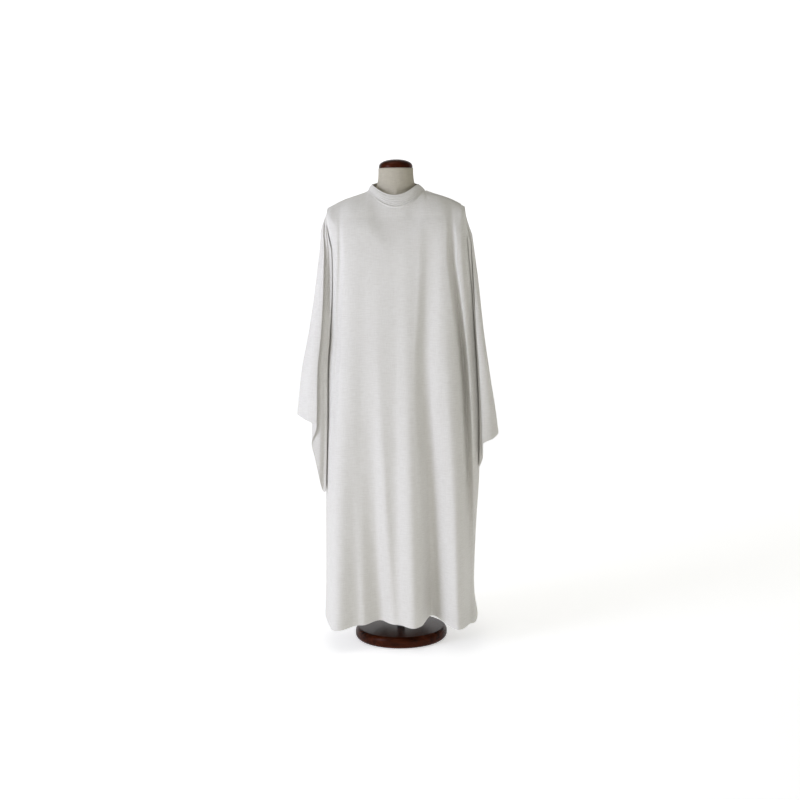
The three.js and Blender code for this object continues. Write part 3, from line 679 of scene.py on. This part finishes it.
def stitched(name, rows):
    """Short rounded stitches along rows of points, each with the way out of its cloth."""
    vertices, faces = [], []
    turns = [math.pi * k / 3 for k in range(6)]
    for line, way in rows:
        along = np.concatenate([[0], np.cumsum(np.linalg.norm(np.diff(line, axis=0), axis=-1))])
        last = along[-1] - SEW["stitch"] - SEW["margin"]
        for start in np.arange(SEW["margin"], last, SEW["stitch"] + SEW["gap"]):
            at = [start, start + SEW["stitch"]]
            ends = np.stack([np.interp(at, along, line[:, n]) for n in range(3)], axis=-1)
            out = np.array([np.interp(at[0], along, way[:, n]) for n in range(3)])
            ahead = (ends[1] - ends[0]) / np.linalg.norm(ends[1] - ends[0])
            out = out - ahead * out.dot(ahead)
            out = out / np.linalg.norm(out)
            aside = np.cross(ahead, out)
            first = len(vertices)
            vertices.append(ends[0] - out * SEW["thick"] * 0.5)
            for share in (0.2, 0.8):
                middle = blend(ends[0], ends[1], share) + out * SEW["thick"] * 0.3
                for turn in turns:
                    spoke = aside * math.cos(turn) + out * math.sin(turn)
                    vertices.append(middle + spoke * SEW["thick"])
            vertices.append(ends[1] - out * SEW["thick"] * 0.5)
            for k in range(6):
                near, far = first + 1 + k, first + 1 + (k + 1) % 6
                faces.append((first, near, far))
                faces.append((near, near + 6, far + 6, far))
                faces.append((first + 13, far + 6, near + 6))
    mesh = bpy.data.meshes.new(name)
    mesh.from_pydata([tuple(v * MM) for v in vertices], [], faces)
    piece = bpy.data.objects.new(name, mesh)
    bpy.context.collection.objects.link(piece)
    only(piece)
    bpy.ops.object.mode_set(mode="EDIT")
    bpy.ops.mesh.select_all(action="SELECT")
    bpy.ops.mesh.normals_make_consistent(inside=False)
    bpy.ops.object.mode_set(mode="OBJECT")
    bpy.ops.object.shade_smooth_by_angle(angle=math.radians(60))
    piece.data.materials.append(material_of("alb_thread"))
    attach(piece, "root")
    return piece


def row_at(points, distance):
    """A line across a sheet at a distance from its lower edge, and the way out along it."""
    way = outward(points)
    _, from_edge = edge_distances(points)
    line, ways = [], []
    for k in range(len(points)):
        rising = from_edge[k, ::-1]
        line.append([np.interp(distance, rising, points[k, ::-1, n]) for n in range(3)])
        ways.append([np.interp(distance, rising, way[k, ::-1, n]) for n in range(3)])
    return np.array(line), np.array(ways)


def finish_piece(piece, material, node):
    piece.data.materials.clear()
    piece.data.materials.append(material)
    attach(piece, "root")
    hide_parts(node)


def material_of(name):
    """A shared material, made when it is first needed."""
    if name in bpy.data.materials:
        return bpy.data.materials[name]
    looks = bpy.context.scene.alb_looks
    if name == "alb_weave":
        constants = {"Roughness": 0.92, "Specular IOR Level": 0.18, "Sheen Weight": 0.25,
                     "Sheen Roughness": 0.55}
        return woven_material(name, looks.cloth_colour, looks.cloth_shade, looks.weave_pitch,
                              relief=0.0006, slub=3.4, constants=constants)
    if name == "alb_thread":
        return new_material(name, {"Base Color": (*looks.cloth_colour, 1), "Roughness": 0.7,
                                   "Sheen Weight": 0.2})[0]
    if name == "form_linen_weave":
        constants = {"Roughness": 0.95, "Specular IOR Level": 0.15}
        return woven_material(name, looks.linen_colour, looks.linen_shade, pitch=0.0016,
                              relief=0.0006, slub=1.4, constants=constants)
    if name == "dark_wood_polish":
        constants = {"IOR": 1.13, "Coat Weight": 0.14, "Coat Roughness": 0.16, "Coat IOR": 1.2}
        return wood_material(name, looks.wood_dark, looks.wood_warm, constants)
    return steel_material(name, {"Base Color": (0.5, 0.5, 0.52, 1), "Metallic": 1.0})


class AlbSizes(bpy.types.PropertyGroup):
    """Sizes that a user would change"""
    cloth_thickness: bpy.props.FloatProperty(
        name="Cloth", description="Thickness of the cloth", default=0.0012, unit="LENGTH")
    panel_columns: bpy.props.IntProperty(
        name="Panel columns", description="Faces across a panel", default=200)
    panel_rows: bpy.props.IntProperty(
        name="Panel rows", description="Faces down a panel", default=200)


class AlbLooks(bpy.types.PropertyGroup):
    """Colours and weave that a user would change"""
    cloth_colour: bpy.props.FloatVectorProperty(
        name="Cloth", description="Lit threads of the cloth", subtype="COLOR", size=3,
        default=(0.85, 0.835, 0.79))
    cloth_shade: bpy.props.FloatVectorProperty(
        name="Cloth shade", description="Darker threads of the cloth", subtype="COLOR", size=3,
        default=(0.755, 0.735, 0.685))
    linen_colour: bpy.props.FloatVectorProperty(
        name="Linen", description="Lit threads of the form's linen", subtype="COLOR", size=3,
        default=(0.61, 0.57, 0.47))
    linen_shade: bpy.props.FloatVectorProperty(
        name="Linen shade", description="Darker threads of the form's linen", subtype="COLOR",
        size=3, default=(0.42, 0.385, 0.31))
    wood_dark: bpy.props.FloatVectorProperty(
        name="Wood", description="Dark grain of the wood", subtype="COLOR", size=3,
        default=(0.005, 0.001, 0.0003))
    wood_warm: bpy.props.FloatVectorProperty(
        name="Wood warm", description="Reddish grain of the wood", subtype="COLOR", size=3,
        default=(0.07, 0.014, 0.004))
    weave_pitch: bpy.props.FloatProperty(
        name="Weave", description="Distance between threads", default=0.0014, unit="LENGTH")


class ALB_OT_stage(bpy.types.Operator):
    """Camera, floor, backdrop and soft studio light"""
    bl_idname = "alb.stage"
    bl_label = "Stage"

    def execute(self, context):
        pitch = math.radians(CAMERA["pitch"])
        roll = math.radians(CAMERA["roll"])
        side = Vector((1, 0, 0))
        ahead = Vector((0, math.cos(pitch), -math.sin(pitch)))
        up = side.cross(ahead)
        right = side * math.cos(roll) + up * math.sin(roll)
        top = up * math.cos(roll) - side * math.sin(roll)
        turn = Matrix((right, top, -ahead)).transposed().to_4x4()
        place = Vector((CAMERA["x"], CAMERA["y"], CAMERA["z"])) * MM
        deselect()
        bpy.ops.object.camera_add()
        camera = context.object
        camera.name = "photo_camera"
        camera.data.lens = CAMERA["lens"]
        camera.data.sensor_width = 36
        camera.matrix_world = Matrix.Translation(place) @ turn
        context.scene.camera = camera
        self.backdrop(context)
        self.lights(context)
        context.scene.view_settings.view_transform = "Standard"
        return {"FINISHED"}

    def backdrop(self, context):
        """White paper that sweeps up behind, and glows a little so that it stays white."""
        deselect()
        bpy.ops.mesh.primitive_grid_add(x_subdivisions=1, y_subdivisions=60, size=2)
        sweep = context.object
        sweep.name = "paper_sweep"
        for vertex in sweep.data.vertices:
            along = (vertex.co.y + 1) * SWEEP["length"] / 2 - SWEEP["front"]
            bend = min(max((along - SWEEP["back"]) / SWEEP["radius"], 0), math.pi / 2)
            rise = max(along - SWEEP["back"] - SWEEP["radius"] * math.pi / 2, 0)
            vertex.co.x *= SWEEP["width"] / 2
            vertex.co.y = min(along, SWEEP["back"]) + SWEEP["radius"] * math.sin(bend)
            vertex.co.z = SWEEP["radius"] * (1 - math.cos(bend)) + rise
        bpy.ops.object.shade_smooth()
        material = new_material("sweep_paper", {
            "Base Color": (0.9, 0.9, 0.9, 1), "Roughness": 1.0, "Specular IOR Level": 0.0,
            "Emission Color": (1, 1, 1, 1), "Emission Strength": 0.5})[0]
        sweep.data.materials.append(material)

    def lights(self, context):
        world = bpy.data.worlds.new("soft_sky")
        context.scene.world = world
        world.use_nodes = True
        background = world.node_tree.nodes["Background"]
        background.inputs["Color"].default_value = SKY["colour"]
        background.inputs["Strength"].default_value = SKY["strength"]
        for name, place, size, power, colour in LAMPS:
            bpy.ops.object.light_add(type="AREA", location=place)
            lamp = context.object
            lamp.name = name
            lamp.data.size = size
            lamp.data.energy = power
            lamp.data.color = colour
            aim = Vector(LAMP_AIM) - Vector(place)
            lamp.rotation_euler = aim.to_track_quat("-Z", "Y").to_euler()


class ALB_OT_panels(bpy.types.Operator):
    """Front and back of the alb"""
    bl_idname = "alb.panels"
    bl_label = "Front and back"

    def execute(self, context):
        sizes = context.scene.alb_sizes
        for side in ("front", "back"):
            points = panel_grid(side, sizes.panel_columns, sizes.panel_rows)
            piece = make_sheet(f"{side}_cloth", points, sizes.cloth_thickness)
            finish_piece(piece, material_of("alb_weave"), side)
            stitched(f"{side}_hem_stitches", [row_at(points, SEW["hem"])])
        return {"FINISHED"}


class ALB_OT_sleeves(bpy.types.Operator):
    """Both hanging sleeves"""
    bl_idname = "alb.sleeves"
    bl_label = "Sleeves"

    def execute(self, context):
        sizes = context.scene.alb_sizes
        for side in ("right", "left"):
            points = sleeve_grid(side, SLEEVE_ROWS)
            piece = make_sheet(f"sleeve_{side}_cloth", points, sizes.cloth_thickness)
            finish_piece(piece, material_of("alb_weave"), f"sleeve_{side}")
            stitched(f"sleeve_{side}_cuff_stitches", [row_at(points, SEW["cuff"])])
        return {"FINISHED"}


class ALB_OT_collar(bpy.types.Operator):
    """Stand collar that laps over on the left shoulder"""
    bl_idname = "alb.collar"
    bl_label = "Collar"

    def execute(self, context):
        sizes = context.scene.alb_sizes
        points = collar_grid(COLLAR["columns"], COLLAR["rows"])
        piece = make_sheet("collar_cloth", points, sizes.cloth_thickness)
        finish_piece(piece, material_of("alb_weave"), "collar")
        way = outward(points)
        rows = [int(place * COLLAR["rows"]) for place, _ in COLLAR_ROWS]
        stitched("collar_stitches", [(points[:, row], way[:, row]) for row in rows])
        return {"FINISHED"}


class ALB_OT_strip(bpy.types.Operator):
    """Strip over the opening on the left shoulder"""
    bl_idname = "alb.strip"
    bl_label = "Shoulder strip"

    def execute(self, context):
        sizes = context.scene.alb_sizes
        points = strip_grid(STRIP["columns"], STRIP["rows"])
        thickness = STRIP["cloths"] * sizes.cloth_thickness
        piece = make_sheet("shoulder_strip_cloth", points, thickness)
        finish_piece(piece, material_of("alb_weave"), "shoulder_strip")
        return {"FINISHED"}


class ALB_OT_form(bpy.types.Operator):
    """Linen torso, neck cap, pole and round base of the dress form"""
    bl_idname = "alb.form"
    bl_label = "Dress form"

    def execute(self, context):
        self.torso(context)
        self.cap(context)
        self.base(context)
        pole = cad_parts["pole"]
        pole.data.materials.clear()
        pole.data.materials.append(material_of("pole_steel_brushed"))
        return {"FINISHED"}

    def torso(self, context):
        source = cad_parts["form_torso"]
        piece = source.copy()
        piece.data = source.data.copy()
        piece.name = "linen_torso"
        context.collection.objects.link(piece)
        only(piece)
        bpy.ops.object.mode_set(mode="EDIT")
        bpy.ops.mesh.select_all(action="SELECT")
        bpy.ops.mesh.remove_doubles(threshold=0.0001)
        bpy.ops.mesh.tris_convert_to_quads()
        bpy.ops.object.mode_set(mode="OBJECT")
        top = max(vertex.co.z for vertex in piece.data.vertices)
        crease = piece.data.attributes.new("crease_edge", "FLOAT", "EDGE")
        for edge in piece.data.edges:
            at_top = all(piece.data.vertices[k].co.z > top - 0.0005 for k in edge.vertices)
            crease.data[edge.index].value = 1.0 if at_top else 0.0
        smoother = piece.modifiers.new("smooth", "SUBSURF")
        smoother.levels = 2
        smoother.render_levels = 2
        bpy.ops.object.modifier_apply(modifier=smoother.name)
        bpy.ops.object.shade_smooth()
        self.wrap_map(piece)
        finish_piece(piece, material_of("form_linen_weave"), "form_torso")

    def wrap_map(self, piece):
        """Metric map round the torso, so that its linen runs round and up."""
        mesh = piece.data
        while mesh.uv_layers:
            mesh.uv_layers.remove(mesh.uv_layers[0])
        layer = mesh.uv_layers.new(name="cloth")
        for face in mesh.polygons:
            middle = math.atan2(face.center.x, -face.center.y)
            for k in face.loop_indices:
                point = mesh.vertices[mesh.loops[k].vertex_index].co
                turn = math.atan2(point.x, -point.y)
                turn += 2 * math.pi * round((middle - turn) / (2 * math.pi))
                layer.data[k].uv = (turn * LINEN_RADIUS, point.z)

    def cap(self, context):
        low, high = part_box("neck_cap")
        radius = (high[0] - low[0]) / 2
        edge = CAP["edge"]
        deselect()
        bpy.ops.mesh.primitive_cylinder_add(
            vertices=96, radius=radius, depth=edge, location=(0, 0, low[2] + edge / 2))
        piece = context.object
        piece.name = "wood_cap"
        rise = high[2] - low[2] - edge
        bpy.ops.object.mode_set(mode="EDIT")
        bpy.ops.mesh.select_all(action="DESELECT")
        bpy.ops.object.mode_set(mode="OBJECT")
        for face in piece.data.polygons:
            face.select = face.normal.z > 0.9
        bpy.ops.object.mode_set(mode="EDIT")
        steps = CAP["rings"]
        for k in range(1, steps + 1):
            before = math.cos((k - 1) / (steps + 1) * math.pi / 2)
            after = math.cos(k / (steps + 1) * math.pi / 2)
            bpy.ops.mesh.inset(thickness=radius * (before - after), depth=0)
            inner = math.sin(k / steps * math.pi / 2)
            outer = math.sin((k - 1) / steps * math.pi / 2)
            lift = rise * (inner - outer)
            bpy.ops.transform.translate(value=(0, 0, lift))
        bpy.ops.object.mode_set(mode="OBJECT")
        self.settle(piece)
        finish_piece(piece, material_of("dark_wood_polish"), "neck_cap")

    def base(self, context):
        low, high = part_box("base")
        radius = (high[0] - low[0]) / 2
        thick = high[2] - low[2]
        deselect()
        bpy.ops.mesh.primitive_cylinder_add(
            vertices=160, radius=radius, depth=thick, location=(0, 0, low[2] + thick / 2))
        piece = context.object
        piece.name = "wood_base"
        edges = ((high[2], *BASE_EDGES["upper"]), (low[2], *BASE_EDGES["lower"]))
        for level, width, segments in edges:
            for edge in piece.data.edges:
                ends = [piece.data.vertices[k].co.z + piece.location.z for k in edge.vertices]
                edge.select = all(abs(z - level) < 1e-5 for z in ends)
            for face in piece.data.polygons:
                face.select = False
            bpy.ops.object.mode_set(mode="EDIT")
            bpy.ops.mesh.select_mode(type="EDGE")
            bpy.ops.mesh.bevel(offset=width, segments=segments, profile=0.5, affect="EDGES")
            bpy.ops.mesh.select_all(action="DESELECT")
            bpy.ops.object.mode_set(mode="OBJECT")
        self.settle(piece)
        finish_piece(piece, material_of("dark_wood_polish"), "base")

    def settle(self, piece):
        """Applies the piece's place and shades it smooth."""
        only(piece)
        bpy.ops.object.transform_apply(location=True, rotation=True, scale=True)
        bpy.ops.object.shade_smooth_by_angle(angle=math.radians(35))


class ALB_PT_sidebar(bpy.types.Panel):
    """Lists the alb's pieces"""
    bl_label = "Alb on Dress Form"
    bl_idname = "ALB_PT_sidebar"
    bl_space_type = "VIEW_3D"
    bl_region_type = "UI"
    bl_category = "Alb"

    def draw(self, context):
        for group in (context.scene.alb_sizes, context.scene.alb_looks):
            for name in group.bl_rna.properties.keys():
                if name not in ("rna_type", "name"):
                    self.layout.prop(group, name)
        for operator in OPERATORS:
            self.layout.operator(operator.bl_idname)


OPERATORS = (ALB_OT_stage, ALB_OT_form, ALB_OT_panels, ALB_OT_sleeves, ALB_OT_collar, ALB_OT_strip)
CLASSES = (AlbSizes, AlbLooks, *OPERATORS, ALB_PT_sidebar)


def register():
    for item in CLASSES:
        bpy.utils.register_class(item)
    bpy.types.Scene.alb_sizes = bpy.props.PointerProperty(type=AlbSizes)
    bpy.types.Scene.alb_looks = bpy.props.PointerProperty(type=AlbLooks)


def unregister():
    del bpy.types.Scene.alb_looks
    del bpy.types.Scene.alb_sizes
    for item in reversed(CLASSES):
        bpy.utils.unregister_class(item)


def main():
    register()
    deselect()
    bpy.ops.alb.stage()
    bpy.ops.alb.form()
    bpy.ops.alb.panels()
    bpy.ops.alb.sleeves()
    bpy.ops.alb.collar()
    bpy.ops.alb.strip()


if __name__ == "__main__":
    main()
